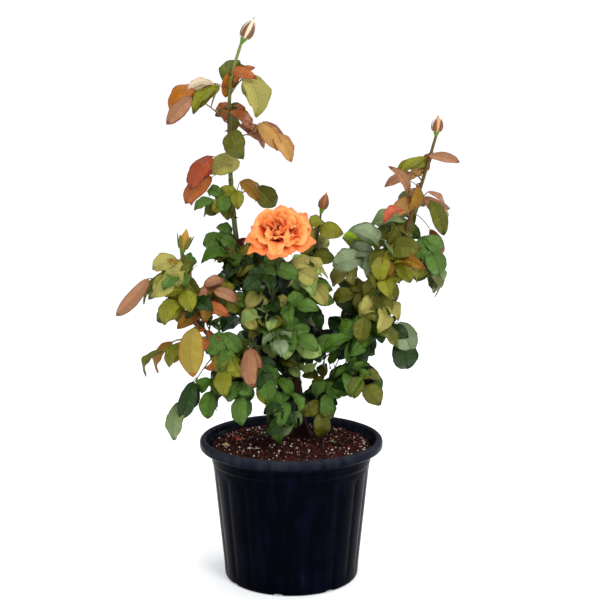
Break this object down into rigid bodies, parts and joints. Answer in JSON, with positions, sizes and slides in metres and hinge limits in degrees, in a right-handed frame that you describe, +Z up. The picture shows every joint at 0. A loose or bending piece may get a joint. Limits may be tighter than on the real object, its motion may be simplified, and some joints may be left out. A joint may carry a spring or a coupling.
{
  "type": "potted rose bush",
  "caption": "Small rose bush with leaning canes, sparse green and bronze leaves, an open orange bloom and slim buds, growing in a black round nursery pot.",
  "frame": {"origin": "centre of the pot's flat underside, on the surface that the pot stands on", "axes": "+Z up, -Y towards the front, +X to the right when seen from the front"},
  "size_m": [0.3849, 0.22, 0.6632],
  "materials": {
    "pot_plastic": "satin",
    "potting_mix": "matte",
    "bark": "satin",
    "leaf": "satin",
    "young_leaf": "satin",
    "petal": "matte",
    "bud": "satin"
  },
  "bodies": {
    "root": {"pot_floor": "pot_plastic", "pot_wall_front": "pot_plastic", "pot_wall_back": "pot_plastic", "pot_lip": "pot_plastic", "potting_mix": "potting_mix", "trunk": "bark", "cane_left": "bark", "cane_middle": "bark", "cane_right": "bark", "shoot_centre": "bark", "shoot_left": "bark", "branch_low_right": "bark", "bud_left": "bud", "bud_right": "bud", "bud_centre": "bud", "bud_low_left": "bud", "bloom": "petal", "foliage_left_top": "young_leaf", "foliage_left_top_side": "young_leaf", "foliage_left_wing": "young_leaf", "foliage_left_shoulder": "young_leaf", "foliage_left_high": "young_leaf", "foliage_left_copper": "young_leaf", "foliage_left_bronze": "young_leaf", "foliage_left_green": "leaf", "foliage_left_fork": "leaf", "foliage_left_dark": "leaf", "foliage_shoot_top": "young_leaf", "foliage_shoot_tip": "young_leaf", "foliage_shoot_olive": "young_leaf", "foliage_shoot_big": "young_leaf", "foliage_shoot_low": "leaf", "foliage_shoot_inner": "young_leaf", "foliage_side_olive": "leaf", "foliage_side_pink": "young_leaf", "foliage_skirt_left": "leaf", "foliage_skirt_tail": "leaf", "foliage_foot_front": "leaf", "foliage_under_bloom": "leaf", "foliage_middle_left": "leaf", "foliage_middle_top": "leaf", "foliage_middle_right": "leaf", "foliage_middle": "leaf", "foliage_heart": "leaf", "foliage_shoulder_pale": "leaf", "foliage_right_inner": "leaf", "foliage_right_top": "young_leaf", "foliage_right_red": "young_leaf", "foliage_right_tail": "young_leaf", "foliage_right_wing": "leaf", "foliage_right_middle": "leaf", "foliage_right_hang": "leaf", "foliage_right_low": "leaf", "foliage_right_tip": "leaf", "foliage_skirt_right": "leaf", "foliage_skirt_foot": "leaf", "foliage_back_middle": "leaf", "foliage_back_right": "leaf", "foliage_back_top": "young_leaf", "foliage_back_far": "leaf"}
  },
  "joints": []
}
